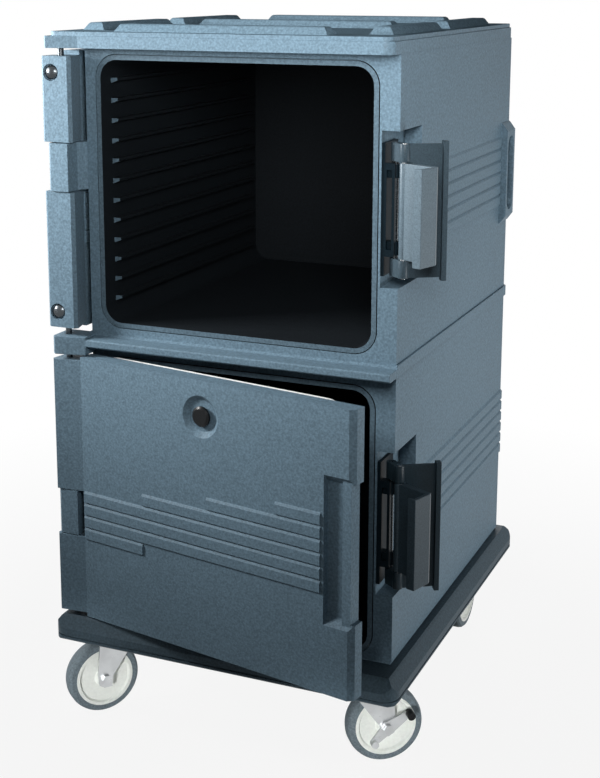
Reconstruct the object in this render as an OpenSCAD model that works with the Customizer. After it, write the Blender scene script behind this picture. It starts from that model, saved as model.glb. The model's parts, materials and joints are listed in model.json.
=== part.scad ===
// Insulated two-compartment food carrier on casters.
// Millimetres, front is -Y, +Z is up, the floor is z = 0 under the middle of the base deck.
// Everything is drawn in the photographed pose: upper door folded back along the left side,
// lower door ajar, both latches open, front casters turned.

/* [Cabinet] */
// Width of the cabinet over its side walls
cab_w = 620; // [580:1:680]
// Depth of the cabinet from front frame to back wall
cab_d = 738; // [700:1:800]
// How far the cabinet stands right of the deck's middle, to leave room for the hinges
cab_shift = 20; // [10:1:30]
// Height of the lower cabinet shell
lower_h = 551; // [545:1:600]
// Height of the upper cabinet shell
upper_h = 565; // [560:1:620]
// Thickness of the moulded outer skin
skin = 5; // [3:0.5:7]
// Radius of the cabinet's upright rear corners
cab_r = 10; // [6:1:16]
// Depth of the shadow groove at the foot of the lower shell
foot_groove = 3; // [1:0.5:4]
// Height of the shadow groove at the foot of the lower shell
foot_groove_h = 5; // [3:0.5:6]
// Clearance round the foam fillings
foam_gap = 0.3; // [0.1:0.1:1]

/* [Compartments] */
// Inside width of a compartment
comp_w = 540; // [520:1:550]
// Inside height of a compartment
comp_h = 499; // [480:1:505]
// Inside depth of a compartment
comp_d = 690; // [600:1:710]
// How far the compartments stand left of the cabinet's middle
comp_shift = 8; // [0:1:12]
// Corner radius of a compartment
comp_r = 34; // [20:1:60]
// Thickness of the liner
liner_t = 4; // [2:0.5:6]
// Width of the liner's rim round the mouth
rim_w = 9; // [6:1:14]
// Depth of the liner's rim from front to back
rim_d = 14; // [8:1:30]
// Height of the lower compartment's floor above the lower shell's underside
lower_floor = 19; // [15:1:24]
// Height of the upper compartment's floor above the upper shell's underside
upper_floor = 44; // [38:1:50]

/* [Pan runners] */
// Distance between runner levels
runner_pitch = 38.1; // [34:0.1:39]
// Height of the lowest runner above the curve of the compartment's lower corners
runner_lift = 0; // [0:0.5:20]
// How far a runner stands out from the wall
runner_w = 14; // [8:1:20]
// Height of a runner at the wall
runner_h = 10; // [6:1:14]
// Distance from the front frame to the front end of the runners
runner_y = 38; // [25:1:60]
// Length of a runner, as a percentage of the depth behind its front end
runner_len = 95; // [75:1:99]

/* [Ledge and belt] */
// Height of the ledge's front between the compartments
ledge_h = 16; // [12:1:24]
// How far the ledge and the roof stand out in front of the front frame
ledge_out = 46; // [35:1:60]
// Height of the belt step round the cabinet
belt_h = 22; // [12:1:30]
// How far the belt stands out from the walls
belt_out = 4; // [2:0.5:8]
// Height of the hinge lug at the ledge's left end
lug_h = 35; // [30:1:40]
// How far the hinge lug reaches below the seam between the shells
lug_drop = 15; // [8:1:18]

/* [Roof] */
// Thickness of the roof cap
roof_t = 30; // [22:1:40]
// How far the roof reaches over the left side
roof_over = 55; // [50:1:64]
// Height of the raised bars on the roof
bar_h = 14; // [8:1:20]
// Width of a bar at its foot
bar_w = 46; // [30:1:60]
// Slope of a bar's sides, measured along the roof
bar_slope = 9; // [4:1:12]
// Length of the bars across the roof
bar_x_len = 420; // [300:1:440]
// Length of the bars along the roof's sides
bar_y_len = 282; // [200:1:290]
// Distance of the outer bars from the roof's edge
bar_inset = 28; // [20:1:40]

/* [Hinges] */
// Distance of the hinge axis from the cabinet's left wall
hinge_x = 35; // [33:1:38]
// Distance of the hinge axis in front of the front frame
hinge_y = 28; // [26:1:30]
// Half width of the hinge barrels from the axis to the outer end
barrel_out = 20; // [19:1:22]
// Distance from the hinge axis to the front of the barrels
barrel_front = 30; // [27:1:31]
// Distance from the hinge axis to the back of the barrels
barrel_back = 33; // [30:1:34]
// Radius of the hinge pins
hinge_pin_r = 6; // [4:0.5:8]
// Radial running clearance of every turning pin
run_gap = 0.05; // [0.02:0.01:0.09]
// Height of the hinge knuckle on each shell
knuckle_h = 90; // [70:1:110]
// How far each knuckle lies from its door's middle, up on the upper shell, down on the lower one
knuckle_off = 51; // [30:1:60]
// Clearance above and below a knuckle
knuckle_gap = 2; // [1:0.5:4]
// Shortening of the barrels at the door's top and bottom
barrel_short = 8; // [8:1:12]
// Distance of the domed bolts behind the hinge axis, with the door shut
bolt_off = 11; // [4:1:14]
// Distance of the domed bolts from the door's top and bottom
bolt_end = 38; // [30:1:60]

/* [Doors] */
// How far the door is higher than the compartment below its floor
door_lap = 16; // [14:1:17]
// Height of a door
door_h = 530; // [526:1:534]
// Thickness of the door's outer moulding
door_t = 33; // [28:1:36]
// Thickness of the door's inner panel
panel_t = 4; // [3:0.5:5]
// Depth of the plug that enters the mouth
plug_d = 24; // [10:1:40]
// Clearance between the plug and the mouth all round
plug_gap = 8; // [6:1:12]
// Thickness of the gasket between door and front frame
gasket_t = 5.7; // [5:0.1:7]
// Width of the gasket ring
gasket_w = 22; // [12:1:22]
// Clearance between the gasket and the front frame when shut
gasket_gap = 0.3; // [0.2:0.1:0.6]
// How far the door ends before the cabinet's right wall
door_end = 2; // [1:1:6]
// Width of the solid right edge of the door
door_edge = 66; // [60:1:72]
// How far the upper door stands open, in degrees
upper_open = 270; // [0:1:270]
// How far the lower door stands open, in degrees
lower_open = 10.7; // [0:0.1:270]

/* [Rib bands] */
// Pitch of the ribs
rib_pitch = 25; // [20:1:27]
// How far a rib stands out
rib_out = 3.5; // [1.5:0.5:4]
// Height of the sloping upper edge of a rib
rib_lip = 5; // [2:0.5:6]
// Height of the undercut lower edge of a rib
rib_foot = 2; // [1:0.5:4]
// Rib band's lowest line above the compartment floor
rib_z = 166; // [150:1:180]
// Where the first step of the door's rib band starts, from the hinge side
rib_first = 145; // [120:1:155]
// Distance from one step of the door's rib band to the next
rib_step = 152; // [120:1:155]
// Number of ribs on the cabinet's sides
side_ribs = 6; // [4:1:7]
// Distance from the latch recess to the side ribs
side_rib_gap = 12; // [6:1:20]

/* [Vent] */
// Radius of the vent's dish
vent_dish_r = 40; // [28:1:44]
// Depth of the vent's dish
vent_dish_d = 9; // [5:1:14]
// Radius of the vent's cap
vent_cap_r = 19; // [14:1:24]
// Height of the vent above the door's middle
vent_z = 197; // [150:1:205]
// Distance of the vent left of the door's middle
vent_x = 19; // [0:1:40]

/* [Latches] */
// Height of the latch recess
recess_h = 276; // [262:1:290]
// Depth of the latch recess along the side wall
recess_d = 121; // [112:1:130]
// Depth of the latch recess into the side wall
recess_w = 33; // [30:1:34]
// Height of the lever
lever_h = 234; // [220:1:240]
// Length of the lever's wing
lever_len = 75; // [70:1:86]
// Thickness of the lever's wing
lever_t = 6; // [4:0.5:8]
// Width of the turned edge that the lever is pulled by
lever_lip = 9; // [5:1:12]
// Height of the hook
hook_h = 168; // [140:1:172]
// Radius of both latch pins
latch_pin_r = 5; // [3:0.5:6]
// Radius of the bosses round the latch pins
boss_r = 9; // [8:0.5:9]
// Distance between the lever pin and the hook pin
crank = 26; // [24:1:27]
// How far the levers are open, in degrees
lever_open = 58; // [0:1:58]
// How far the hooks are folded against the levers, in degrees
hook_fold = 130; // [0:1:138]
// Width of the channel in the door's edge
channel_w = 35; // [30:1:38]
// Depth of the channel
channel_d = 14; // [10:1:16]
// Width of the keeper rib
keeper_w = 17; // [12:1:20]
// How far the keeper lies below the door's face
keeper_drop = 6; // [4:0.5:8]

/* [Handles] */
// Height of a handle
handle_h = 219; // [180:1:240]
// Width of a handle's frame
handle_w = 62; // [58:1:70]
// How far a handle's frame stands out
handle_out = 15; // [8:1:18]
// Depth of a handle's cup behind the wall
handle_cup = 22; // [10:1:23]
// Width of a handle's finger slot
handle_slot = 44; // [36:1:48]
// Height of the handle's middle above the upper compartment's floor
handle_z = 235; // [200:1:280]

/* [Base deck] */
// Width of the base deck
deck_w = 720; // [700:1:760]
// Depth of the base deck
deck_d = 836; // [830:1:880]
// How far the base deck stands out in front of the ledge
deck_front = 21; // [14:1:30]
// Height of the deck's underside above the floor
deck_z = 186; // [182:1:200]
// Thickness of the deck
deck_t = 49; // [40:1:60]
// Corner radius of the deck
deck_r = 30; // [20:1:50]
// Depth of the bevel round the deck's upper edge
deck_bevel = 16; // [8:1:18]
// Height of the bevel round the deck's upper edge
deck_bevel_h = 24; // [14:1:30]
// Depth of the groove round the deck's lower edge
deck_groove = 2.5; // [1:0.5:4]
// Height of the groove above the deck's underside
deck_groove_z = 8; // [5:1:14]

/* [Casters] */
// Radius of the wheels
wheel_r = 75; // [65:1:80]
// Width of the wheels
wheel_w = 36; // [28:1:40]
// Radial thickness of the tyres
tyre_t = 15; // [8:1:20]
// Distance of the left casters from the deck's middle
caster_x_left = 281; // [250:1:290]
// Distance of the right casters from the deck's middle
caster_x_right = 258; // [250:1:290]
// Distance of the front casters before the deck's origin
caster_y_front = 313; // [280:1:330]
// Distance of the rear casters behind the deck's origin
caster_y_rear = 325; // [280:1:340]
// Trail of the swivel casters
trail = 38; // [25:1:45]
// Direction in which the left swivel caster trails, in degrees from +X
left_turn = -129; // [-180:1:180]
// Direction in which the right swivel caster trails, in degrees from +X
right_turn = 37; // [-180:1:180]
// Radius of the caster axles
axle_r = 6; // [5:0.5:8]
// Thickness of the fork's sheet
fork_t = 3.5; // [2.5:0.5:5]
// Length of a caster's top plate
plate_l = 112; // [100:1:130]
// Width of a caster's top plate
plate_w = 90; // [84:1:100]
// Thickness of a caster's top plate
plate_t = 6; // [4:1:8]
// Thickness of the brake's rocker
brake_t = 4; // [3:0.5:6]

/* [Hidden] */
$fn = 48;

// Colours of the moulded parts and the hardware
moulded = [0.40, 0.47, 0.53];
lined = [0.16, 0.19, 0.22];
nylon = [0.15, 0.18, 0.20];
steel = [0.78, 0.78, 0.76];
cream = [0.86, 0.87, 0.80];
rubber = [0.33, 0.38, 0.42];

// The mouths and both shells keep their given heights beside a door of the base height and grow with it
door_base = 530;
door_grow = door_h - door_base;
mouth_h = comp_h + door_grow;
lower_wall = lower_h + door_grow;
upper_wall = upper_h + door_grow;

// Levels
deck_top = deck_z + deck_t;
seam_z = deck_top + lower_wall;
cab_top = seam_z + upper_wall;
roof_top = cab_top + roof_t;
lower_z = deck_top + lower_floor;
upper_z = seam_z + upper_floor;

// Planes of the cabinet and its compartments
wall_l = cab_shift - cab_w / 2;
wall_r = cab_shift + cab_w / 2;
front_y = -cab_d / 2;
back_y = cab_d / 2;
comp_l = cab_shift - comp_shift - comp_w / 2;
comp_r_x = comp_l + comp_w;
comp_back = front_y + comp_d;
ledge_y = front_y - ledge_out;

// Runner levels that fit between the round corners
runner_z = comp_r + runner_lift + runner_h;
runner_n = floor((mouth_h - comp_r - runner_z) / runner_pitch) + 1;
runner_l = (comp_d - runner_y) * runner_len / 100;

// Hinge axis, and the door's planes when it is shut
axis_x = wall_l - hinge_x;
axis_y = front_y - hinge_y;
barrel_l = axis_x - barrel_out;
barrel_y = axis_y - barrel_front;
gasket_y = front_y - gasket_gap - gasket_t;
panel_y = gasket_y - panel_t;
door_y = panel_y - door_t;
door_r = wall_r - door_end;
door_l = wall_l + 5;
notch_x = wall_l + 3;
knuckle_r = 23;

// Latch: lever pin, hook pin and recess, with the latch shut
recess_x = wall_r - recess_w;
pin_a = [wall_r - 12, front_y + 17];
crank_a = 20;
pin_b = pin_a + crank * [cos(crank_a), sin(crank_a)];
lever_x = pin_b[0] - 4;
keeper_l = door_r - 8 - keeper_w;
channel_l = keeper_l - channel_w;
latch_up = mouth_h / 2 + 3;

// Middle of the handles, just before the rear corners
handle_y = back_y - cab_r - handle_w / 2 - 1;

// Casters
fork_in = wheel_w / 2 + 4;
race_z = deck_z - plate_t;
crown_z = race_z - 20;

// Rectangle with round corners, cut from squares and circles so that its arcs stay true
module round_rect(w, h, r) {
  square([w - 2 * r, h], center = true);
  square([w, h - 2 * r], center = true);
  for (sx = [-1, 1], sy = [-1, 1])
    translate([sx * (w / 2 - r), sy * (h / 2 - r)]) circle(r);
}

// Box given by two opposite corners
module span(a, b) {
  translate(a) cube(b - a);
}

// Prism along Y with a round-cornered section, grown by g on all four sides
module mouth(floor_z, y0, y1, g) {
  translate([comp_l + comp_w / 2, y1, floor_z + mouth_h / 2])
    rotate([90, 0, 0])
      linear_extrude(y1 - y0)
        round_rect(comp_w + 2 * g, mouth_h + 2 * g, comp_r + g);
}

// Plan of a wall block with round rear corners
module cab_plan(g) {
  r = cab_r - g;
  w = cab_w - 2 * g;
  d = cab_d - 2 * g;
  translate([cab_shift, 0]) {
    translate([0, -r / 2]) square([w, d - r], center = true);
    square([w - 2 * r, d], center = true);
    for (s = [-1, 1]) translate([s * (w / 2 - r), d / 2 - r]) circle(r);
  }
}

// One lapped rib: a strip with a sharp upper edge that runs out to nothing below
module rib(len) {
  rotate([90, 0, 90])
    linear_extrude(len)
      polygon([
        [0.4, 0], [-0.6, 0], [-rib_out, rib_foot],
        [-rib_out, rib_pitch - rib_lip - 0.5], [0.4, rib_pitch - 0.5]
      ]);
}

module hinge_bore(z0, z1, gap) {
  translate([axis_x, axis_y, z0]) cylinder(r = hinge_pin_r + gap, h = z1 - z0);
}

// Turns shut-door geometry to the pose of a door
module door_pose(open) {
  translate([axis_x, axis_y, 0]) rotate(-open) translate([-axis_x, -axis_y, 0]) children();
}

// Turns shut-latch geometry with its lever
module lever_pose() {
  translate([pin_a[0], pin_a[1], 0])
    rotate(-lever_open)
      translate([-pin_a[0], -pin_a[1], 0]) children();
}

module hook_pose() {
  lever_pose()
    translate([pin_b[0], pin_b[1], 0])
      rotate(hook_fold)
        translate([-pin_b[0], -pin_b[1], 0]) children();
}

// Base deck: the bevel is the meeting of two sections along X and Y
module base_deck() {
  y0 = ledge_y - deck_front;
  color(moulded) difference() {
    intersection() {
      translate([0, y0 + deck_d / 2, deck_z])
        linear_extrude(deck_t) round_rect(deck_w, deck_d, deck_r);
      translate([0, y0 + deck_d, 0]) rotate([90, 0, 0])
        linear_extrude(deck_d) deck_section(deck_w);
      translate([-deck_w / 2, y0 + deck_d / 2, 0]) rotate([90, 0, 90])
        linear_extrude(deck_w) deck_section(deck_d);
    }
    translate([0, y0 + deck_d / 2, deck_z + deck_groove_z]) linear_extrude(3) difference() {
      square([deck_w + 10, deck_d + 10], center = true);
      round_rect(deck_w - 2 * deck_groove, deck_d - 2 * deck_groove, deck_r - deck_groove);
    }
    hinge_bore(deck_top - 26, deck_top + 1, run_gap);
    caster_bolt_set(0.1);
  }
}

module deck_section(w) {
  h = w / 2;
  polygon([
    [-h + 4, deck_z], [h - 4, deck_z], [h, deck_z + 4], [h, deck_top - deck_bevel_h],
    [h - deck_bevel + 2, deck_top - 4], [h - deck_bevel - 2, deck_top],
    [-h + deck_bevel + 2, deck_top], [-h + deck_bevel - 2, deck_top - 4],
    [-h, deck_top - deck_bevel_h], [-h, deck_z + 4]
  ]);
}

// Latch recess in the right front corner, grown by g
module recess(floor_z, g) {
  zc = floor_z + latch_up;
  span([recess_x - g, front_y - 1, zc - recess_h / 2 - g],
       [wall_r + 10, front_y + recess_d + g, zc + recess_h / 2 + g]);
}

// Handle pockets on both sides, grown by g
module handle_wells(g) {
  zc = upper_z + handle_z;
  yc = handle_y;
  w = handle_slot + 8 + 2 * g;
  h = handle_h - 52 + 2 * g;
  for (s = [-1, 1])
    translate([s < 0 ? wall_l : wall_r, yc, zc])
      rotate([0, s * 90, 0])
        translate([-h / 2, -w / 2, -handle_cup - g]) cube([h, w, handle_cup + g + 10]);
}

// Hollow moulded skin from z0 to z1 with a mouth, a latch recess and handle pockets
module skin_block(z0, z1, floor_z, wells) {
  difference() {
    translate([0, 0, z0]) linear_extrude(z1 - z0) cab_plan(0);
    difference() {
      translate([0, 0, z0 + skin]) linear_extrude(z1 - z0 - 2 * skin) cab_plan(skin);
      recess(floor_z, skin);
    }
    recess(floor_z, 0);
    mouth(floor_z, front_y - 1, front_y + skin + 1, rim_w + 2);
    if (wells) handle_wells(0);
  }
}

// Rib bands on both sides of a shell
module side_bands(floor_z, y1) {
  y0 = front_y + recess_d + side_rib_gap;
  for (i = [0 : side_ribs - 1]) {
    z = floor_z + rib_z + i * rib_pitch;
    translate([wall_r, y0, z]) rotate(90) rib(y1 - y0);
    translate([wall_l, y1, z]) rotate(-90) rib(y1 - y0);
  }
}

// Hinge knuckle that grips the pin between the door's two barrels
module knuckle(zc) {
  translate([0, 0, zc - knuckle_h / 2])
    linear_extrude(knuckle_h)
      polygon([
        [axis_x - 20, axis_y + 14], [axis_x - 20, axis_y - 18], [axis_x - 14, axis_y - 24],
        [axis_x + knuckle_r, axis_y - 24], [axis_x + knuckle_r, axis_y + 10],
        [wall_l + 0.4, front_y + 0.5], [wall_l + 0.4, front_y + 34],
        [axis_x + 19, front_y + 14], [axis_x + 10, axis_y + 20], [axis_x - 14, axis_y + 20]
      ]);
}

module lower_shell() {
  color(moulded) difference() {
    union() {
      skin_block(deck_top, seam_z, lower_z, false);
      side_bands(lower_z, back_y - cab_r);
      knuckle(lower_z - door_lap + door_h / 2 - knuckle_off);
    }
    translate([0, 0, deck_top - 1]) linear_extrude(foot_groove_h + 1) difference() {
      translate([cab_shift, 0]) square([cab_w + 10, cab_d + 10], center = true);
      cab_plan(foot_groove);
    }
    hinge_bore(deck_top, seam_z, run_gap);
    latch_screw_set(lower_z, 0.1);
  }
}

// Ledge between the compartments with its sloping top and the hinge lug
module ledge() {
  translate([wall_l + 10, 0, 0]) rotate([90, 0, 90])
    linear_extrude(cab_w + belt_out - 10)
      polygon([
        [front_y, seam_z], [ledge_y + 3, seam_z], [ledge_y, seam_z + 3],
        [ledge_y, seam_z + ledge_h - 2], [ledge_y + 2, seam_z + ledge_h],
        [front_y - 6, seam_z + ledge_h], [front_y, seam_z + ledge_h + 4]
      ]);
  translate([0, 0, seam_z - lug_drop])
    linear_extrude(lug_h)
      polygon([
        [barrel_l + 6, axis_y + barrel_back], [barrel_l, axis_y + barrel_back - 6],
        [barrel_l, barrel_y + 6], [barrel_l + 6, barrel_y],
        [wall_l + 12, ledge_y], [wall_l + 12, front_y], [wall_l, front_y],
        [wall_l, axis_y + barrel_back]
      ]);
}

// Belt step round the sides and the back
module belt() {
  translate([0, 0, seam_z])
    linear_extrude(belt_h)
      difference() {
        cab_plan(-belt_out);
        cab_plan(0);
        translate([cab_shift - cab_w / 2, front_y - belt_out - 1]) square([cab_w, belt_out + 2]);
      }
}

module mid_ledge() {
  color(moulded) difference() {
    union() {
      ledge();
      belt();
    }
    hinge_bore(seam_z - lug_drop - 1, seam_z + lug_h, run_gap);
  }
}

module upper_shell() {
  color(moulded) difference() {
    union() {
      skin_block(seam_z, cab_top, upper_z, true);
      side_bands(upper_z, handle_y - handle_w / 2 - 4);
      knuckle(upper_z - door_lap + door_h / 2 + knuckle_off);
    }
    hinge_bore(seam_z, cab_top + 1, run_gap);
    latch_screw_set(upper_z, 0.1);
  }
}

// Raised stacking bar with sloping sides, centred on its foot
module stack_bar(len, w) {
  intersection() {
    translate([0, w / 2, 0]) rotate([90, 0, 0]) linear_extrude(w) bar_section(len);
    translate([-len / 2, 0, 0]) rotate([90, 0, 90]) linear_extrude(len) bar_section(w);
  }
}

module bar_section(w) {
  h = w / 2;
  polygon([
    [-h, 0], [h, 0], [h - bar_slope + 1, bar_h - 2], [h - bar_slope - 2, bar_h],
    [-h + bar_slope + 2, bar_h], [-h + bar_slope - 1, bar_h - 2]
  ]);
}

module roof_cap() {
  x0 = wall_l - roof_over;
  xc = (x0 + wall_r) / 2;
  yc = (ledge_y + back_y) / 2;
  w = wall_r - x0;
  d = back_y - ledge_y;
  bx = w / 2 - bar_inset - bar_w / 2;
  by = d / 2 - bar_inset - bar_w / 2;
  color(moulded) difference() {
    union() {
      translate([xc, yc, cab_top]) linear_extrude(roof_t - 8) round_rect(w, d, 18);
      translate([xc, yc, roof_top - 8]) linear_extrude(8) round_rect(w - 6, d - 6, 15);
      translate([0, 0, cab_top])
        linear_extrude(roof_t - 8)
          polygon([
            [barrel_l + 6, axis_y + barrel_back], [barrel_l, axis_y + barrel_back - 6],
            [barrel_l, barrel_y + 6], [barrel_l + 6, barrel_y],
            [wall_l + 12, ledge_y], [wall_l + 12, front_y], [wall_l, axis_y + barrel_back]
          ]);
      for (s = [-1, 0, 1])
        translate([xc, yc + s * by, roof_top]) stack_bar(bar_x_len, bar_w);
      for (sx = [-1, 1], sy = [-1, 1])
        translate([xc + sx * bx, yc + sy * (bar_y_len / 2 + 24), roof_top])
          rotate(90) stack_bar(bar_y_len, bar_w);
    }
    hinge_bore(cab_top - 1, cab_top + 20, run_gap);
  }
}

// Liner: thin round-cornered box, open at the front, with a thicker rim round the mouth
module liner(floor_z) {
  color(lined) difference() {
    union() {
      mouth(floor_z, front_y, comp_back + liner_t, liner_t);
      mouth(floor_z, front_y, front_y + rim_d, rim_w);
    }
    mouth(floor_z, front_y - 1, comp_back, 0);
  }
}

module lower_liner() { liner(lower_z); }
module upper_liner() { liner(upper_z); }

// Pan runners: one bar with a sloping underside for each level and side
module runners(floor_z) {
  color(lined)
    for (i = [0 : runner_n - 1], s = [0, 1])
      translate([s == 0 ? comp_l : comp_r_x, front_y + runner_y + (s == 0 ? runner_l : 0),
                 floor_z + runner_z + i * runner_pitch])
        rotate([90, 0, s == 0 ? 0 : 180])
          linear_extrude(runner_l)
            polygon([[0, 0], [0, -runner_h], [runner_w, -runner_h / 2], [runner_w, 0]]);
}

module lower_runners() { runners(lower_z); }
module upper_runners() { runners(upper_z); }

// Foam fills the space between skin and liner
module foam(z0, z1, floor_z, wells) {
  g = skin + foam_gap;
  color([0.93, 0.88, 0.66]) difference() {
    translate([0, 0, z0 + g]) linear_extrude(z1 - z0 - 2 * g) cab_plan(g);
    recess(floor_z, g);
    mouth(floor_z, front_y, comp_back + liner_t + foam_gap, liner_t + foam_gap);
    mouth(floor_z, front_y, front_y + rim_d + foam_gap, rim_w + foam_gap);
    if (wells) handle_wells(foam_gap);
    latch_screw_set(floor_z, foam_gap);
  }
}

module lower_foam() { foam(deck_top, seam_z, lower_z, false); }
module upper_foam() { foam(seam_z, cab_top, upper_z, true); }

// Handle: bevelled frame on the wall with a finger cup let into it
module handle(s) {
  zc = upper_z + handle_z;
  yc = handle_y;
  cup_w = handle_slot + 8 - 0.2;
  cup_h = handle_h - 52 - 0.2;
  slot_h = handle_h - 60;
  translate([s < 0 ? wall_l : wall_r, yc, zc])
    rotate([0, s * 90, 0])
      difference() {
        union() {
          translate([-handle_h / 2, handle_w / 2, 0]) rotate([90, 0, 0])
            linear_extrude(handle_w)
              polygon([
                [0, 0], [handle_h, 0], [handle_h - 3, 4], [handle_h - 18, handle_out],
                [18, handle_out], [3, 4]
              ]);
          translate([-cup_h / 2, -cup_w / 2, -handle_cup + 0.2]) cube([cup_h, cup_w, handle_cup]);
        }
        translate([0, 0, -handle_cup + 4])
          linear_extrude(handle_cup + handle_out) round_rect(slot_h, handle_slot, 20);
      }
}

module left_handle() { color(moulded) handle(-1); }
module right_handle() { color(moulded) handle(1); }

// Latch base: plate in the recess, two ears for the lever pin and a slotted front web
module latch_base(floor_z) {
  zc = floor_z + latch_up;
  x0 = recess_x;
  color(nylon) difference() {
    union() {
      span([x0, front_y + 2, zc - lever_h / 2], [x0 + 6, front_y + 70, zc + lever_h / 2]);
      span([x0, front_y + 2, zc - hook_h / 2 + 2], [pin_a[0] + 3, front_y + 7, zc + hook_h / 2 - 2]);
      for (s = [-1, 1]) translate([0, 0, zc + s * (hook_h / 2 - 16) - 12]) {
        span([x0, pin_a[1] - boss_r, 0], [pin_a[0], pin_a[1] + boss_r, 24]);
        translate([pin_a[0], pin_a[1], 0]) cylinder(r = boss_r, h = 24);
      }
    }
    span([x0 + 9, front_y, zc - hook_h / 2 + 14], [pin_a[0] - 2, front_y + 8, zc + hook_h / 2 - 14]);
    translate([pin_a[0], pin_a[1], zc - lever_h / 2 - 1])
      cylinder(r = latch_pin_r + run_gap, h = lever_h + 2);
    latch_screw_set(floor_z, 0.1);
  }
}

module upper_latch_base() { latch_base(upper_z); }
module lower_latch_base() { latch_base(lower_z); }

// Screws that hold a latch base to the wall of its recess, grown by g
module latch_screw_set(floor_z, g) {
  zc = floor_z + latch_up;
  for (i = [-1 : 1])
    translate([recess_x, front_y + 48, zc + i * 80]) rotate([0, 90, 0]) {
      translate([0, 0, -skin - 3]) cylinder(r = 2.5 + g, h = skin + 9.1, $fn = 24);
      translate([0, 0, 6 - g]) cylinder(r = 5 + g, h = 2.6 + g, $fn = 24);
    }
}

module latch_screws() {
  color(steel) {
    latch_screw_set(upper_z, 0);
    latch_screw_set(lower_z, 0);
  }
}

module lever_pins() {
  color(steel)
    for (f = [upper_z, lower_z])
      translate([pin_a[0], pin_a[1], f + latch_up - lever_h / 2 + 1])
        cylinder(r = latch_pin_r, h = lever_h - 2);
}

// Lever: two arms on the lever pin, a wing between them and a turned edge to pull
module lever(floor_z) {
  zc = floor_z + latch_up;
  z1 = hook_h / 2 + 1.5;
  y1 = pin_b[1] + lever_len;
  color(nylon) lever_pose() difference() {
    union() {
      for (s = [-1, 1]) translate([0, 0, s > 0 ? zc + z1 : zc - lever_h / 2])
        linear_extrude(lever_h / 2 - z1) {
          translate(pin_a) circle(boss_r);
          translate(pin_b) circle(boss_r);
          translate(pin_a) rotate(crank_a) translate([0, -boss_r + 1]) square([crank, 2 * boss_r - 2]);
          translate([lever_x, pin_b[1]]) square([lever_t, 20]);
        }
      span([lever_x, pin_b[1] + boss_r + 3, zc - lever_h / 2], [lever_x + lever_t, y1, zc + lever_h / 2]);
      span([lever_x, y1 - lever_lip, zc - lever_h / 2 - 5],
           [lever_x + lever_t + 9, y1, zc + lever_h / 2 + 5]);
    }
    translate([pin_a[0], pin_a[1], zc - lever_h]) cylinder(r = latch_pin_r + run_gap, h = 2 * lever_h);
    translate([pin_b[0], pin_b[1], zc - lever_h]) cylinder(r = latch_pin_r + run_gap, h = 2 * lever_h);
  }
}

module hook_pin(floor_z) {
  zc = floor_z + latch_up;
  color(steel) lever_pose()
    translate([pin_b[0], pin_b[1], zc - lever_h / 2 - 1]) cylinder(r = latch_pin_r, h = lever_h + 2);
}

// Hook: bent plate that reaches round the door's edge and drops its lip behind the keeper
module hook(floor_z) {
  zc = floor_z + latch_up;
  yf = door_y + keeper_drop;
  color(nylon) hook_pose() difference() {
    translate([0, 0, zc - hook_h / 2]) {
      translate([pin_b[0], pin_b[1], 0]) cylinder(r = boss_r - 1, h = hook_h);
      linear_extrude(hook_h) polygon([
        [pin_b[0] - 6, pin_b[1] - 4], [pin_b[0] + 6.5, pin_b[1] - 1], [pin_b[0] - 2, yf - 9],
        [pin_b[0] - 9, yf - 12], [keeper_l - 13, yf - 12], [keeper_l - 13, yf + 5],
        [keeper_l - 8, yf + 5], [keeper_l - 6, yf - 5], [pin_b[0] - 14, yf - 5]
      ]);
    }
    translate([pin_b[0], pin_b[1], zc - hook_h]) cylinder(r = latch_pin_r + run_gap, h = 2 * hook_h);
  }
}

module upper_lever() { lever(upper_z); }
module lower_lever() { lever(lower_z); }
module upper_hook_pin() { hook_pin(upper_z); }
module lower_hook_pin() { hook_pin(lower_z); }
module upper_hook() { hook(upper_z); }
module lower_hook() { hook(lower_z); }

module hinge_pins() {
  color(steel) {
    translate([axis_x, axis_y, deck_top - 25]) cylinder(r = hinge_pin_r, h = lower_wall + 25 - 2);
    translate([axis_x, axis_y, seam_z + 2]) cylinder(r = hinge_pin_r, h = upper_wall + 15);
  }
}

// Door moulding, shut: panel with barrels, rib band, vent dish and latch channel
module door_shell(floor_z, side) {
  z0 = floor_z - door_lap;
  zm = z0 + door_h / 2;
  zk = zm + side * knuckle_off;
  zl = floor_z + latch_up;
  difference() {
    union() {
      translate([0, 0, z0]) linear_extrude(door_h) polygon([
        [door_l, panel_y], [door_l, door_y], [door_r - 10, door_y], [door_r, door_y + 10],
        [door_r, panel_y]
      ]);
      for (b = [[z0 + barrel_short, zk - knuckle_h / 2 - knuckle_gap],
                [zk + knuckle_h / 2 + knuckle_gap, z0 + door_h - barrel_short]])
        translate([0, 0, b[0]]) linear_extrude(b[1] - b[0]) polygon([
          [barrel_l + 6, axis_y + barrel_back], [barrel_l, axis_y + barrel_back - 6],
          [barrel_l, barrel_y + 6], [barrel_l + 6, barrel_y],
          [door_l + 0.5, door_y], [door_l + 0.5, panel_y], [wall_l - 10, panel_y],
          [wall_l - 10, axis_y + barrel_back]
        ]);
      door_ribs(floor_z);
    }
    span([door_l + 8, door_y + skin, z0 + 8], [door_r - door_edge, panel_y + 1, z0 + door_h - 8]);
    hinge_bore(z0, z0 + door_h, run_gap);
    translate([(door_l + door_r) / 2 - vent_x, door_y, zm + vent_z]) vent_cuts();
    latch_channel(zl);
    hinge_bolt_set(floor_z, 0.1);
  }
  translate([(door_l + door_r) / 2 - vent_x, door_y, zm + vent_z]) vent_boss();
}

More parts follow.
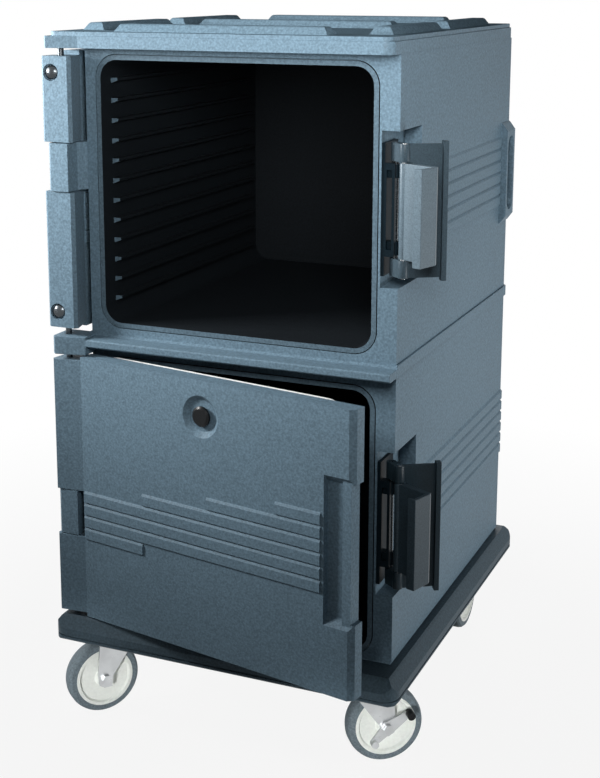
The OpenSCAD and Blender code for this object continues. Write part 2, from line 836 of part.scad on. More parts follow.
// Stepped rib band: four long ribs, one short one below and three that start further right
module door_ribs(floor_z) {
  x0 = door_l + 3;
  x1 = channel_l - 6;
  z = floor_z + rib_z - 19;
  starts = [0, 0, 0, 0, rib_first, rib_first + rib_step, rib_first + 2 * rib_step];
  for (i = [0 : 6]) {
    e = i == 0 ? x0 + rib_first : x1;
    translate([x0 + starts[i], door_y, z + i * rib_pitch]) rib(e - x0 - starts[i]);
  }
}

// Round dish for the vent, and the hole behind it
module vent_cuts() {
  rotate([90, 0, 0]) {
    translate([0, 0, -vent_dish_d]) cylinder(r1 = vent_dish_r - 10, r2 = vent_dish_r, h = vent_dish_d + 0.01);
    translate([0, 0, -door_t - 1]) cylinder(r = 10 + run_gap, h = door_t + 2);
  }
}

// Wall of the dish on its inner side
module vent_boss() {
  rotate([90, 0, 0]) difference() {
    translate([0, 0, -vent_dish_d - skin]) cylinder(r = vent_dish_r + skin - 1, h = vent_dish_d + skin - 4);
    translate([0, 0, -vent_dish_d]) cylinder(r1 = vent_dish_r - 10, r2 = vent_dish_r, h = vent_dish_d + 0.01);
    translate([0, 0, -door_t]) cylinder(r = 10 + run_gap, h = door_t);
  }
}

// Channel with sloping ends, the keeper beside it and the cut-back edge
module latch_channel(zc) {
  h = recess_h / 2;
  translate([channel_l, 0, zc]) rotate([90, 0, 90]) linear_extrude(channel_w)
    polygon([
      [door_y - 4, -h - 4], [door_y - 4, h + 4], [door_y, h], [door_y + channel_d, h - channel_d],
      [door_y + channel_d, -h + channel_d], [door_y, -h]
    ]);
  translate([channel_l, 0, zc]) rotate([90, 0, 90]) linear_extrude(door_r - channel_l + 1)
    polygon([
      [door_y - 4, -h - 4], [door_y - 4, h + 4], [door_y + keeper_drop, h - keeper_drop],
      [door_y + keeper_drop, -h + keeper_drop]
    ]);
  translate([0, 0, zc - h + 10]) span([door_r - 8, door_y - 4, 0], [door_r + 1, panel_y + 1, 2 * h - 20]);
}

// Domed bolts in the hinge edge, grown by g
module hinge_bolt_set(floor_z, g) {
  z0 = floor_z - door_lap;
  for (z = [z0 + bolt_end, z0 + door_h - bolt_end])
    translate([barrel_l, axis_y + bolt_off, z]) rotate([0, 90, 0]) {
      translate([0, 0, -1]) cylinder(r = g > 0 ? 16 : 10, h = g > 0 ? 7 : 0.01);
      if (g > 0) translate([0, 0, 5]) cylinder(r = 5 + g, h = 7);
    }
}

module hinge_bolts(floor_z) {
  z0 = floor_z - door_lap;
  for (z = [z0 + bolt_end, z0 + door_h - bolt_end])
    translate([barrel_l, axis_y + bolt_off, z]) rotate([0, 90, 0]) {
      translate([0, 0, 5]) cylinder(r = 5, h = 6);
      translate([0, 0, 3]) cylinder(r = 13, h = 3.0);
      intersection() {
        translate([0, 0, 14]) sphere(r = 17);
        translate([0, 0, -3]) cylinder(r = 13, h = 6);
      }
    }
}

module door_panel(floor_z) {
  z0 = floor_z - door_lap;
  difference() {
    union() {
      span([door_l + 2, panel_y, z0 + 2], [door_r - 10, panel_y + panel_t, z0 + door_h - 2]);
      plug(floor_z, panel_y, gasket_y + plug_d, 0);
    }
    plug(floor_z, panel_y - 1, gasket_y + plug_d - panel_t, panel_t);
  }
}

// Plug in the mouth, shrunk by g
module plug(floor_z, y0, y1, g) {
  c = plug_gap + g;
  translate([comp_l + comp_w / 2, y1, floor_z + mouth_h / 2])
    rotate([90, 0, 0])
      linear_extrude(y1 - y0)
        round_rect(comp_w - 2 * c, mouth_h - 2 * c, comp_r - c);
}

module door_foam(floor_z) {
  z0 = floor_z - door_lap;
  f = foam_gap;
  zm = z0 + door_h / 2;
  difference() {
    union() {
      span([door_l + 8 + f, door_y + skin + f, z0 + 8 + f],
           [door_r - door_edge - f, panel_y - f, z0 + door_h - 8 - f]);
      plug(floor_z, panel_y + f, gasket_y + plug_d - panel_t - f, panel_t + f);
      intersection() {
        plug(floor_z, panel_y - 1, panel_y + 1, panel_t + f);
        span([door_l + 8 + f, panel_y - 2, z0 + 8 + f],
             [door_r - door_edge - f, panel_y + 2, z0 + door_h - 8 - f]);
      }
    }
    translate([(door_l + door_r) / 2 - vent_x, door_y, zm + vent_z]) rotate([90, 0, 0]) {
      translate([0, 0, -vent_dish_d - skin - f])
        cylinder(r = vent_dish_r + skin - 1 + f, h = vent_dish_d + skin);
      translate([0, 0, -60]) cylinder(r = 10 + f, h = 60);
    }
  }
}

// Gasket ring that closes the mouth
module door_gasket(floor_z) {
  difference() {
    plug(floor_z, gasket_y, gasket_y + gasket_t, -gasket_w);
    plug(floor_z, gasket_y - 1, gasket_y + gasket_t + 1, -0.3);
  }
}

// Vent: mushroom cap in the dish with its stem through the moulding
module vent_cap(floor_z) {
  zm = floor_z - door_lap + door_h / 2;
  translate([(door_l + door_r) / 2 - vent_x, door_y, zm + vent_z]) rotate([90, 0, 0]) {
    translate([0, 0, -vent_dish_d]) cylinder(r = vent_cap_r - 5, h = 4);
    translate([0, 0, -vent_dish_d + 4]) cylinder(r = vent_cap_r, h = 4);
    translate([0, 0, -vent_dish_d + 8]) cylinder(r1 = vent_cap_r, r2 = vent_cap_r - 4, h = 3);
    translate([0, 0, -door_t + 2]) cylinder(r = 10, h = door_t - vent_dish_d);
  }
}

module upper_door_shell() { color(moulded) door_pose(upper_open) door_shell(upper_z, 1); }
module lower_door_shell() { color(moulded) door_pose(lower_open) door_shell(lower_z, -1); }
module upper_door_panel() { color(lined) door_pose(upper_open) door_panel(upper_z); }
module lower_door_panel() { color(lined) door_pose(lower_open) door_panel(lower_z); }
module upper_door_foam() { color([0.93, 0.88, 0.66]) door_pose(upper_open) door_foam(upper_z); }
module lower_door_foam() { color([0.93, 0.88, 0.66]) door_pose(lower_open) door_foam(lower_z); }
module upper_door_gasket() { color([0.92, 0.92, 0.9]) door_pose(upper_open) door_gasket(upper_z); }
module lower_door_gasket() { color([0.92, 0.92, 0.9]) door_pose(lower_open) door_gasket(lower_z); }
module upper_vent_cap() { color([0.06, 0.06, 0.07]) door_pose(upper_open) vent_cap(upper_z); }
module lower_vent_cap() { color([0.06, 0.06, 0.07]) door_pose(lower_open) vent_cap(lower_z); }
module upper_hinge_bolts() { color(steel) door_pose(upper_open) hinge_bolts(upper_z); }
module lower_hinge_bolts() { color(steel) door_pose(lower_open) hinge_bolts(lower_z); }

// Swivel caster places: [x, y] of the king pins, and the rear casters' plates
swivels = [[-caster_x_left, -caster_y_front], [caster_x_right, -caster_y_front]];
rears = [[-caster_x_left, caster_y_rear], [caster_x_right, caster_y_rear]];

// Bolts through every caster plate into the deck, grown by g
module caster_bolt_set(g) {
  for (p = concat(swivels, rears), sx = [-1, 1], sy = [-1, 1])
    translate([p[0] + sx * (plate_l / 2 - 13), p[1] + sy * (plate_w / 2 - 13), race_z]) {
      cylinder(r = 4 + g, h = plate_t + 22, $fn = 24);
      translate([0, 0, -5 - g]) cylinder(r = 6.5 + g, h = 5 + g, $fn = 6);
    }
}

module caster_bolts() { color(steel) caster_bolt_set(0); }

// Top plates of the swivel casters with their raceway and king pin
module swivel_plates() {
  color(steel) difference() {
    for (p = swivels) translate([p[0], p[1], 0]) {
      translate([0, 0, race_z + plate_t / 2]) cube([plate_l, plate_w, plate_t], center = true);
      translate([0, 0, race_z - 5]) cylinder(r = 27, h = 5.1);
      translate([0, 0, crown_z - 4]) cylinder(r = 8, h = race_z - crown_z + 4);
      translate([0, 0, crown_z - 5]) cylinder(r = 12, h = 4.6);
    }
    caster_bolt_set(0.1);
  }
}

// Side plate of a fork in its own plane: x forward of the axle, z up
module fork_side(top, back, front) {
  linear_extrude(fork_t) difference() {
    union() {
      polygon([[back, top], [front, top], [front, top - 14], [17, wheel_r + 8], [15, wheel_r - 12],
               [4, wheel_r - 19], [-13, wheel_r - 19], [-15, wheel_r + 4], [back, top - 14]]);
    }
    translate([0, wheel_r]) circle(axle_r + run_gap);
  }
}

// Swivel fork at its own origin: king pin at x = 0, wheel at x = trail
module swivel_fork() {
  difference() {
    union() {
      for (s = [-1, 1])
        translate([trail, s > 0 ? fork_in + fork_t : -fork_in, 0]) rotate([90, 0, 0])
          fork_side(crown_z + fork_t, -trail - 28, 12);
      translate([-28, -fork_in - fork_t, crown_z]) cube([trail + 40, 2 * (fork_in + fork_t), fork_t]);
      translate([0, 0, crown_z + fork_t - 0.1]) cylinder(r = 31, h = race_z - 5.4 - crown_z - fork_t);
    }
    translate([0, 0, crown_z - 1]) cylinder(r = 8 + run_gap, h = 30);
  }
}

module swivel_axle(lever_side) {
  translate([trail, 0, wheel_r]) rotate([90, 0, 0]) {
    cylinder(r = axle_r, h = 2 * (fork_in + fork_t + lever_side + 6), center = true);
    for (s = [-1, 1])
      translate([0, 0, s * (fork_in + fork_t + 3.3 + (s > 0 ? lever_side : 0))])
        cylinder(r = 9.5, h = 6, center = true, $fn = 6);
  }
}

// Wheel core: dished discs with a hub, and a groove for the tyre
module wheel_core() {
  rotate([90, 0, 0]) rotate_extrude() polygon([
    [axle_r + run_gap, -wheel_w / 2 - 3.5], [17, -wheel_w / 2 - 3.5], [20, -wheel_w / 2 + 5],
    [wheel_r - tyre_t - 9, -wheel_w / 2 + 5], [wheel_r - tyre_t - 6, -wheel_w / 2],
    [wheel_r - tyre_t, -wheel_w / 2], [wheel_r - tyre_t, wheel_w / 2],
    [wheel_r - tyre_t - 6, wheel_w / 2], [wheel_r - tyre_t - 9, wheel_w / 2 - 5],
    [20, wheel_w / 2 - 5], [17, wheel_w / 2 + 3.5], [axle_r + run_gap, wheel_w / 2 + 3.5]
  ]);
}

module tyre() {
  h = wheel_w / 2 - 1;
  rotate([90, 0, 0]) rotate_extrude() polygon([
    [wheel_r - tyre_t, -h], [wheel_r - 5, -h], [wheel_r - 1.5, -h + 4], [wheel_r, -h + 10],
    [wheel_r, h - 10], [wheel_r - 1.5, h - 4], [wheel_r - 5, h], [wheel_r - tyre_t, h]
  ]);
}

module at_swivel(i) {
  translate([swivels[i][0], swivels[i][1], 0]) rotate(i == 0 ? left_turn : right_turn) children();
}

module left_fork() { color(steel) at_swivel(0) swivel_fork(); }
module left_axle() { color(steel) at_swivel(0) swivel_axle(0); }
module left_wheel() { color(cream) at_swivel(0) translate([trail, 0, wheel_r]) wheel_core(); }
module left_tyre() { color(rubber) at_swivel(0) translate([trail, 0, wheel_r]) tyre(); }
module right_fork() { color(steel) at_swivel(1) swivel_fork(); }
module right_axle() { color(steel) at_swivel(1) swivel_axle(brake_t + 1); }
module right_wheel() { color(cream) at_swivel(1) translate([trail, 0, wheel_r]) wheel_core(); }
module right_tyre() { color(rubber) at_swivel(1) translate([trail, 0, wheel_r]) tyre(); }

// Rocker brake on the axle, outside the right fork
module right_brake() {
  y0 = -fork_in - fork_t - 0.4;
  color(steel) at_swivel(1) translate([trail, y0, wheel_r]) rotate([90, 0, 0]) difference() {
    union() {
      linear_extrude(brake_t) {
        circle(14);
        polygon([[-12, -7], [12, -9], [46, 20], [40, 32], [-2, 13]]);
        polygon([[-6, 12], [10, -8], [-22, -32], [-32, -22]]);
      }
      translate([43, 26, 0]) cylinder(r = 8, h = 18);
      translate([-27, -27, 0]) cylinder(r = 7, h = 14);
    }
    translate([0, 0, -1]) cylinder(r = axle_r + run_gap, h = 30);
  }
}

// Rigid rear forks with their own top plate
module rear_forks() {
  color(steel) difference() {
    for (p = rears) translate([p[0], p[1], 0]) rotate(90) {
      for (s = [-1, 1])
        translate([0, s > 0 ? fork_in + fork_t : -fork_in, 0]) rotate([90, 0, 0])
          fork_side(race_z + 1, -34, 34);
      translate([0, 0, race_z + plate_t / 2]) cube([plate_w, plate_l, plate_t], center = true);
    }
    caster_bolt_set(0.1);
  }
}

module rear_axles() {
  color(steel) for (p = rears) translate([p[0], p[1], 0]) rotate(90) translate([-trail, 0, 0]) swivel_axle(0);
}

module at_rear(i) {
  translate([rears[i][0], rears[i][1], wheel_r]) rotate(90) children();
}

module rear_left_wheel() { color(cream) at_rear(0) wheel_core(); }
module rear_left_tyre() { color(rubber) at_rear(0) tyre(); }
module rear_right_wheel() { color(cream) at_rear(1) wheel_core(); }
module rear_right_tyre() { color(rubber) at_rear(1) tyre(); }

base_deck();
lower_shell();
upper_shell();
mid_ledge();
roof_cap();
lower_liner();
upper_liner();
lower_runners();
upper_runners();
lower_foam();
upper_foam();
left_handle();
right_handle();
upper_latch_base();
lower_latch_base();
latch_screws();
lever_pins();
hinge_pins();
caster_bolts();
swivel_plates();
rear_forks();
rear_axles();
upper_door_shell();
upper_door_panel();
upper_door_foam();
upper_door_gasket();
upper_vent_cap();
upper_hinge_bolts();
lower_door_shell();
lower_door_panel();
lower_door_foam();
lower_door_gasket();
lower_vent_cap();
lower_hinge_bolts();
upper_lever();
upper_hook_pin();
upper_hook();
lower_lever();
lower_hook_pin();
lower_hook();
left_fork();
left_axle();
left_wheel();
left_tyre();
right_fork();
right_axle();
right_wheel();
right_tyre();
right_brake();
rear_left_wheel();
rear_left_tyre();
rear_right_wheel();
rear_right_tyre();
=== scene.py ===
"""Looks of the insulated two-compartment food carrier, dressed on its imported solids."""

import json
import math

import bpy
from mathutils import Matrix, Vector


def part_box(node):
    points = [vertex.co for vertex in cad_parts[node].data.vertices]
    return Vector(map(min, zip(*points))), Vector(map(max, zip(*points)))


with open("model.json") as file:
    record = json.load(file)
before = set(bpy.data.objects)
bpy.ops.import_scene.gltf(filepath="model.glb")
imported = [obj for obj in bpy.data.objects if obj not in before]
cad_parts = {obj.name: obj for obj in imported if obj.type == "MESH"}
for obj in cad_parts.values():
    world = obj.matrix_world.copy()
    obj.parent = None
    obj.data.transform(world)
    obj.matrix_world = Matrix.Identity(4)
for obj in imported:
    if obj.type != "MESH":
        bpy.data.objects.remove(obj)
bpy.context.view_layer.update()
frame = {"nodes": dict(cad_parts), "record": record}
nodes = frame["nodes"]
scene = bpy.context.scene

# Camera: the photograph's standing eye level, to the right of the doors

PICTURE_H = 778
FOCAL_PX = 1424.0
SENSOR_MM = 36.0
EYE = Vector((1.115, -2.673, 1.478))
HEADING = math.radians(23.63)
PITCH = math.radians(11.4)

eye_data = bpy.data.cameras.new("photo_eye")
eye_data.sensor_width = SENSOR_MM
eye_data.lens = FOCAL_PX / PICTURE_H * SENSOR_MM
eye_data.shift_x = 0.0252
eye_data.shift_y = -0.16
eye = bpy.data.objects.new("photo_eye", eye_data)
eye.location = EYE
gaze = Vector((
    -math.sin(HEADING) * math.cos(PITCH),
    math.cos(HEADING) * math.cos(PITCH),
    -math.sin(PITCH),
))
eye.rotation_euler = gaze.to_track_quat("-Z", "Y").to_euler()
scene.collection.objects.link(eye)
scene.camera = eye


# Shader helpers

MIX_FACTOR, MIX_A, MIX_B, MIX_RESULT = 0, 6, 7, 2  # the colour sockets of a Mix node


def feed(tree, socket, value):
    """Links another socket to a socket, or sets a plain value on it."""
    if isinstance(value, bpy.types.NodeSocket):
        tree.links.new(value, socket)
    else:
        socket.default_value = value


def add(tree, kind, feeds=None, **settings):
    """New node, with its settings by keyword and its sockets by name or number."""
    node = tree.nodes.new(kind)
    for setting, value in settings.items():
        setattr(node, setting, value)
    for socket, value in (feeds or {}).items():
        feed(tree, node.inputs[socket], value)
    return node


def new_group(name, scale, *outputs):
    """Shader node group with one input, Scale, and the named outputs, all plain numbers."""
    group = bpy.data.node_groups.new(name, "ShaderNodeTree")
    given = group.interface.new_socket("Scale", in_out="INPUT", socket_type="NodeSocketFloat")
    given.default_value = scale
    for output in outputs:
        group.interface.new_socket(output, in_out="OUTPUT", socket_type="NodeSocketFloat")
    return group, add(group, "NodeGroupInput").outputs["Scale"], add(group, "NodeGroupOutput")


def place(tree, group, scale):
    return add(tree, "ShaderNodeGroup", {"Scale": scale}, node_tree=group).outputs


def position(tree):
    return add(tree, "ShaderNodeTexCoord").outputs["Object"]


def ramp(tree, value, low, high, start=0.0, end=1.0):
    """Value from the range low to high, stretched to the range start to end."""
    feeds = {"Value": value, "From Min": low, "From Max": high, "To Min": start, "To Max": end}
    return add(tree, "ShaderNodeMapRange", feeds).outputs[0]


def math_node(tree, operation, a, b):
    return add(tree, "ShaderNodeMath", {0: a, 1: b}, operation=operation).outputs[0]


def noise(tree, where, scale, **values):
    feeds = {"Vector": where, "Scale": scale, **values}
    return add(tree, "ShaderNodeTexNoise", feeds).outputs["Fac"]


def stretched(tree, where, scale):
    return add(tree, "ShaderNodeMapping", {"Vector": where, "Scale": scale}).outputs["Vector"]


def mix_colour(tree, mask, a, b):
    """Colour between a and b by a mask."""
    feeds = {MIX_FACTOR: mask, MIX_A: a, MIX_B: b}
    return add(tree, "ShaderNodeMix", feeds, data_type="RGBA").outputs[MIX_RESULT]


def shade(colour, factor):
    """Colour made darker or lighter, with its alpha."""
    return (*(min(1.0, c * factor) for c in colour), 1.0)


def bump(tree, shader, height, strength, distance):
    feeds = {"Height": height, "Strength": strength, "Distance": distance}
    feed(tree, shader.inputs["Normal"], add(tree, "ShaderNodeBump", feeds).outputs["Normal"])


# Effects that several finishes share

def make_pebble_grain():
    """Leathery mould grain: Height for the bump, and Tone, a speckle between 0 and 1."""
    group, scale, out = new_group("pebble_grain", 420.0, "Height", "Tone")
    where = position(group)
    cells = add(group, "ShaderNodeTexVoronoi", {"Vector": where, "Scale": scale}, feature="SMOOTH_F1")
    pits = ramp(group, cells.outputs["Distance"], 0.1, 0.75, 1.0, 0.0)
    fine = noise(group, where, math_node(group, "MULTIPLY", scale, 0.55), Detail=3.0)
    speck = ramp(group, fine, 0.3, 0.7)
    pit_share = math_node(group, "MULTIPLY", pits, 0.6)
    speck_share = math_node(group, "MULTIPLY", speck, 0.4)
    feed(group, out.inputs["Height"], math_node(group, "ADD", pit_share, speck_share))
    feed(group, out.inputs["Tone"], speck)
    return group


def make_soft_mottle():
    """Broad uneven tone of a rotationally moulded wall, and the bloom that handling leaves."""
    group, scale, out = new_group("soft_mottle", 3.0, "Mottle", "Bloom")
    where = position(group)
    broad = noise(group, where, scale, Detail=4.0, Roughness=0.55)
    streak = noise(group, stretched(group, where, (6.0, 6.0, 38.0)), 2.2, Detail=6.0)
    feed(group, out.inputs["Mottle"], ramp(group, broad, 0.32, 0.68))
    feed(group, out.inputs["Bloom"], ramp(group, streak, 0.60, 0.78))
    return group


def make_brushed_lines():
    """Fine drawn lines of plated sheet and turned pins, and the cloud in the plating."""
    group, scale, out = new_group("brushed_lines", 60.0, "Lines", "Cloud")
    where = position(group)
    drawn = noise(group, stretched(group, where, (1.0, 1.0, 14.0)), scale, Detail=5.0)
    feed(group, out.inputs["Lines"], drawn)
    feed(group, out.inputs["Cloud"], noise(group, where, 24.0))
    return group


pebble_grain = make_pebble_grain()
soft_mottle = make_soft_mottle()
brushed_lines = make_brushed_lines()


# Finishes

MOTTLE_SCALE = 3.0
MOTTLE_LIFT, BLOOM_LIFT = 1.7, 2.2  # how much paler the mottle and the bloom are than the plastic
PEBBLE_DISTANCE = 0.0008
LINE_DEPTH, LINE_DISTANCE = 0.06, 0.0004


def blank(name):
    material = bpy.data.materials.new(name)
    material.use_nodes = True
    tree = material.node_tree
    return material, tree, tree.nodes["Principled BSDF"]


def moulded_plastic(
    name, colour, rough=0.55, grain=420.0, depth=0.4, speckle=0.26, mottle=0.08, bloom=0.10, gloss=0.25
):
    """Moulded polyethylene or nylon: speckled tone, broad mottle, pale handling bloom and pebble bump."""
    material, tree, shader = blank(name)
    pebbles = place(tree, pebble_grain, grain)
    wall = place(tree, soft_mottle, MOTTLE_SCALE)
    mottled = math_node(tree, "MULTIPLY", wall["Mottle"], mottle)
    bloomed = math_node(tree, "MULTIPLY", wall["Bloom"], bloom)
    tone = mix_colour(tree, pebbles["Tone"], shade(colour, 1 - speckle), shade(colour, 1 + speckle))
    tone = mix_colour(tree, mottled, tone, shade(colour, MOTTLE_LIFT))
    tone = mix_colour(tree, bloomed, tone, shade(colour, BLOOM_LIFT))
    feed(tree, shader.inputs["Base Color"], tone)
    dull = ramp(tree, pebbles["Height"], 0.0, 1.0, rough - 0.05, rough + 0.08)
    feed(tree, shader.inputs["Roughness"], dull)
    shader.inputs["Specular IOR Level"].default_value = gloss
    bump(tree, shader, pebbles["Height"], depth, PEBBLE_DISTANCE)
    return material


def plated_metal(name, colour, rough=0.3, cloud=0.25, lines=60.0):
    """Plated or polished steel with faint drawn lines and a cloudy plating."""
    material, tree, shader = blank(name)
    brushed = place(tree, brushed_lines, lines)
    tone = mix_colour(tree, brushed["Cloud"], shade(colour, 1 - cloud), shade(colour, 1 + cloud * 0.4))
    feed(tree, shader.inputs["Base Color"], tone)
    shader.inputs["Metallic"].default_value = 1.0
    dull = ramp(tree, brushed["Lines"], 0.3, 0.7, rough - 0.07, rough + 0.1)
    feed(tree, shader.inputs["Roughness"], dull)
    bump(tree, shader, brushed["Lines"], LINE_DEPTH, LINE_DISTANCE)
    return material


FINE_NYLON = dict(grain=700.0, depth=0.10, bloom=0.05)
EVEN_PALE = dict(grain=300.0, speckle=0.04, mottle=0.0, bloom=0.0)

slate = moulded_plastic("slate_moulding", (0.104, 0.160, 0.204), rough=0.5, gloss=0.1)
slate_rim = moulded_plastic("slate_rim", (0.074, 0.113, 0.143), rough=0.45, depth=0.15, gloss=0.12)
# Near black painted shade for the insides of the compartments and the runners
slate_painted_shade = moulded_plastic("slate_painted_shade", (0.006, 0.008, 0.010), rough=0.6, depth=0.15, gloss=0.1)
# The slate a little darker, as painted shade on the roof's top faces, with a dull finish
slate_roof_dull_painted_shade = moulded_plastic("slate_roof_dull_painted_shade", (0.098, 0.150, 0.190), rough=0.8, gloss=0.0)
slate_deck = moulded_plastic("slate_deck", (0.044, 0.068, 0.086), rough=0.5, gloss=0.1)
nylon = moulded_plastic("latch_nylon", (0.014, 0.025, 0.033), rough=0.36, gloss=0.12, **FINE_NYLON)
wing_nylon = moulded_plastic("wing_nylon", (0.034, 0.053, 0.067), rough=0.36, gloss=0.12, **FINE_NYLON)
base_nylon = moulded_plastic("base_nylon", (0.004, 0.009, 0.013), rough=0.36, gloss=0.06, **FINE_NYLON)
hook_nylon = moulded_plastic("hook_nylon", (0.082, 0.115, 0.139), rough=0.34, gloss=0.15, **FINE_NYLON)
cream = moulded_plastic("cream_core", (0.90, 0.93, 0.88), rough=0.38, depth=0.06, **EVEN_PALE)
gasket_white = moulded_plastic("gasket_white", (0.78, 0.79, 0.77), rough=0.55, depth=0.08, **EVEN_PALE)
tread = moulded_plastic("grey_tread", (0.160, 0.200, 0.224), rough=0.62, grain=500.0, depth=0.2, gloss=0.08)
vent_black = moulded_plastic(
    "vent_black", (0.005, 0.006, 0.007), rough=0.28, grain=800.0, depth=0.05, bloom=0.0, gloss=0.15
)
foam_yellow = moulded_plastic("foam_yellow", (0.78, 0.70, 0.42), rough=0.9, grain=250.0, depth=0.5, bloom=0.0)
zinc = plated_metal("zinc_sheet", (0.62, 0.64, 0.65), rough=0.34, cloud=0.4)
chrome = plated_metal("polished_pin", (0.82, 0.83, 0.84), rough=0.12, cloud=0.05)
dark_steel = plated_metal("dark_steel", (0.075, 0.085, 0.092), rough=0.26)

SLOT_FINISHES = {
    "moulded": slate,
    "moulded_inner": slate_rim,
    "insulation": foam_yellow,
    "latch_nylon": nylon,
    "pin_chrome": chrome,
    "zinc_steel": zinc,
    "brake_steel": zinc,
    "wheel_cream": cream,
    "tyre_grey": tread,
    "gasket": gasket_white,
    "vent_black": vent_black,
}
OWN_FINISHES = {
    "base_deck": slate_deck,
    "upper_hook": hook_nylon,
    "lower_hook": wing_nylon,
    "upper_lever": wing_nylon,
    "upper_latch_base": base_nylon,
    "lower_latch_base": base_nylon,
    "hinge_pins": dark_steel,
    "lever_pins": dark_steel,
    "upper_hinge_bolts": dark_steel,
    "lower_hinge_bolts": dark_steel,
}
for part in frame["record"]["subparts"]:
    finish = OWN_FINISHES.get(part["node"], SLOT_FINISHES[part["material_slot"]])
    materials = nodes[part["node"]].data.materials
    materials.clear()
    materials.append(finish)


# Second finishes, on some faces of a piece

FACES_FRONT = -0.9
FACES_UP = 0.5
PAD_HEIGHT = 0.018
RIM_DEPTH = 0.1


def second_finish(name, finish, test):
    """Gives the faces that pass a test a second finish."""
    mesh = nodes[name].data
    mesh.materials.append(finish)
    for face in mesh.polygons:
        if test(face):
            face.material_index = 1


# The stacking face of the roof is dull, and painted a little darker than the slate as painted shade
second_finish("roof_cap", slate_roof_dull_painted_shade, lambda face: face.normal.z > FACES_UP)

# The upper end of the brake pedal has a dark pad
pedal_points = nodes["right_brake"].data.vertices
pad_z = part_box("right_brake")[1][2] - PAD_HEIGHT
second_finish(
    "right_brake", vent_black, lambda face: all(pedal_points[v].co.z > pad_z for v in face.vertices)
)

# The moulded skin closes over the foam round the mouths
for name in ("upper_foam", "lower_foam"):
    second_finish(name, slate_rim, lambda face: face.normal.y < FACES_FRONT)

# The compartments and runners are painted near black as painted shade, except on their front-facing faces
# near the mouths
inside_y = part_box("upper_liner")[0][1] + RIM_DEPTH
for name in ("upper_liner", "lower_liner", "upper_runners", "lower_runners"):
    second_finish(
        name, slate_painted_shade, lambda face: face.normal.y > FACES_FRONT or face.center.y > inside_y
    )


# Softened edges of the mouldings

SMOOTH_LEAN = 0.9995
WELD_GAP = 0.00002
FLAT_ANGLE = math.radians(0.3)
EDGE_ANGLE = math.radians(38)
EDGE_SEGMENTS = 2
EDGE_RADII = {
    "base_deck": 0.004,
    "roof_cap": 0.004,
    "upper_shell": 0.003,
    "lower_shell": 0.003,
    "mid_ledge": 0.003,
    "upper_door_shell": 0.003,
    "lower_door_shell": 0.003,
    "left_handle": 0.002,
    "right_handle": 0.002,
    "upper_lever": 0.0012,
    "lower_lever": 0.0012,
    "upper_hook": 0.0010,
    "lower_hook": 0.0010,
    "left_fork": 0.0008,
    "right_fork": 0.0008,
}


def is_curved(mesh, face):
    """True where a face's corners lean away from its flat normal."""
    return any(mesh.corner_normals[i].vector.dot(face.normal) < SMOOTH_LEAN for i in face.loop_indices)


def weld(name):
    """Joins the split corners of a piece, with its curved faces kept smooth."""
    piece = nodes[name]
    faces = piece.data.polygons
    # Every face is judged before the first is changed
    curved = [is_curved(piece.data, face) for face in faces]
    for face, smooth in zip(faces, curved):
        face.use_smooth = smooth
    join = piece.modifiers.new("join", "WELD")
    join.merge_threshold = WELD_GAP
    return piece


def soften(name, radius):
    """Rounds the sharp edges of a piece."""
    piece = weld(name)
    whole = piece.modifiers.new("whole_faces", "DECIMATE")
    whole.decimate_type = "DISSOLVE"
    whole.angle_limit = FLAT_ANGLE
    whole.delimit = {"MATERIAL"}
    edge = piece.modifiers.new("edge_radius", "BEVEL")
    edge.width = radius
    edge.segments = EDGE_SEGMENTS
    edge.limit_method = "ANGLE"
    edge.angle_limit = EDGE_ANGLE
    edge.use_clamp_overlap = True


for name, radius in EDGE_RADII.items():
    soften(name, radius)

# The domes of the bolts have a hair-thin gap in their meshes, which the weld closes
for name in ("upper_hinge_bolts", "lower_hinge_bolts"):
    weld(name)


# Studio: pale floor, white surround and soft lamps

FLOOR_HALF = 9.0
FLOOR_GREY = (0.34, 0.34, 0.34, 1.0)
SHADOW_NEAR, SHADOW_FAR = 0.7, 1.9  # the floor's shadow fades out between these distances
GLOW_NEAR, GLOW_FAR = 0.90, 1.0
WHITE = (1.0, 1.0, 1.0, 1.0)
SURROUND_TINT = (0.93, 0.97, 1.0, 1.0)
SURROUND_LIGHT = 0.07
CASTER_LAMP_OFFSET = Vector((0.10, -1.20, 0.10))


def seen_directly(tree):
    """Mask of the rays from the camera, and of those that metal or glass sends on."""
    path = add(tree, "ShaderNodeLightPath").outputs
    sent_on = math_node(tree, "MAXIMUM", path["Is Glossy Ray"], path["Is Transmission Ray"])
    return math_node(tree, "MAXIMUM", path["Is Camera Ray"], sent_on)


def mix_surface(tree, output, mask, a, b):
    """Output node fed by two shaders, mixed by a mask."""
    mixed = add(tree, "ShaderNodeMixShader", {0: mask, 1: a.outputs[0], 2: b.outputs[0]})
    add(tree, output, {"Surface": mixed.outputs[0]})


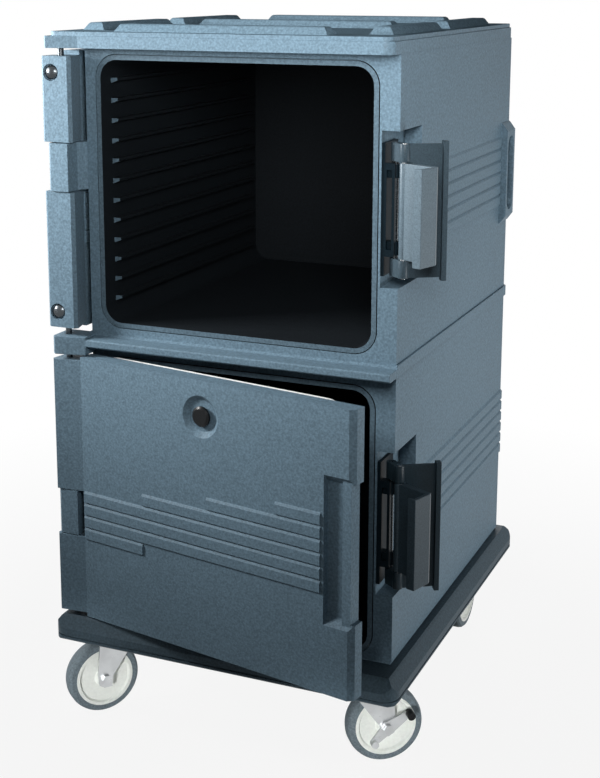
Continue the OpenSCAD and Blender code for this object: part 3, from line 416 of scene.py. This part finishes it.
def make_floor():
    corners = [(x * FLOOR_HALF, y * FLOOR_HALF, 0) for x, y in ((-1, -1), (1, -1), (1, 1), (-1, 1))]
    mesh = bpy.data.meshes.new("studio_floor")
    mesh.from_pydata(corners, [], [(0, 1, 2, 3)])
    floor = bpy.data.objects.new("studio_floor", mesh)
    scene.collection.objects.link(floor)
    material = bpy.data.materials.new("pale_floor")
    material.use_nodes = True
    tree = material.node_tree
    tree.nodes.clear()
    paint = add(tree, "ShaderNodeBsdfDiffuse", {"Color": FLOOR_GREY})
    glow = add(tree, "ShaderNodeEmission", {"Strength": 1.0})
    where = add(tree, "ShaderNodeNewGeometry").outputs["Position"]
    away = add(tree, "ShaderNodeVectorMath", {0: where}, operation="LENGTH").outputs["Value"]
    fade = ramp(tree, away, SHADOW_NEAR, SHADOW_FAR, GLOW_NEAR, GLOW_FAR)
    glowing = math_node(tree, "MULTIPLY", seen_directly(tree), fade)
    mix_surface(tree, "ShaderNodeOutputMaterial", glowing, paint, glow)
    mesh.materials.append(material)


def make_world():
    world = bpy.data.worlds.new("studio")
    scene.world = world
    world.use_nodes = True
    tree = world.node_tree
    tree.nodes.clear()
    around = add(tree, "ShaderNodeBackground", {"Color": SURROUND_TINT, "Strength": SURROUND_LIGHT})
    white = add(tree, "ShaderNodeBackground", {"Color": WHITE})
    mix_surface(tree, "ShaderNodeOutputWorld", seen_directly(tree), around, white)


def lamp(name, where, aim, size, power, spread=180):
    """Square lamp at a place, aimed at a point; power in watts, spread in degrees."""
    light = bpy.data.lights.new(name, "AREA")
    light.shape = "SQUARE"
    light.size = size
    light.energy = power
    light.spread = math.radians(spread)
    holder = bpy.data.objects.new(name, light)
    holder.location = where
    holder.rotation_euler = (Vector(aim) - Vector(where)).to_track_quat("-Z", "Y").to_euler()
    scene.collection.objects.link(holder)


make_floor()
make_world()
lamp("key_left", (-1.45, -1.00, 1.58), (-0.25, -0.40, 1.42), 0.5, 22, 90)
lamp("key_front", (0.70, -1.50, 1.62), (0.18, -0.40, 1.52), 0.5, 7.5, 90)
lamp("key_right", (2.20, 0.20, 0.35), (0.30, 0.10, 0.90), 0.6, 9.0, 105)
for side in ("left", "right"):
    low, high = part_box(f"{side}_wheel")
    hub = Vector(low).lerp(Vector(high), 0.5)
    lamp(f"caster_{side}", hub + CASTER_LAMP_OFFSET, hub, 0.2, 0.13, 16)
lamp("fill_left", (-2.40, 0.40, 1.60), (-0.30, 0.0, 0.80), 1.4, 26)
lamp("fill_back", (-0.70, 2.50, 1.60), (0.0, 0.30, 0.80), 1.4, 26)

scene.view_settings.view_transform = "Standard"
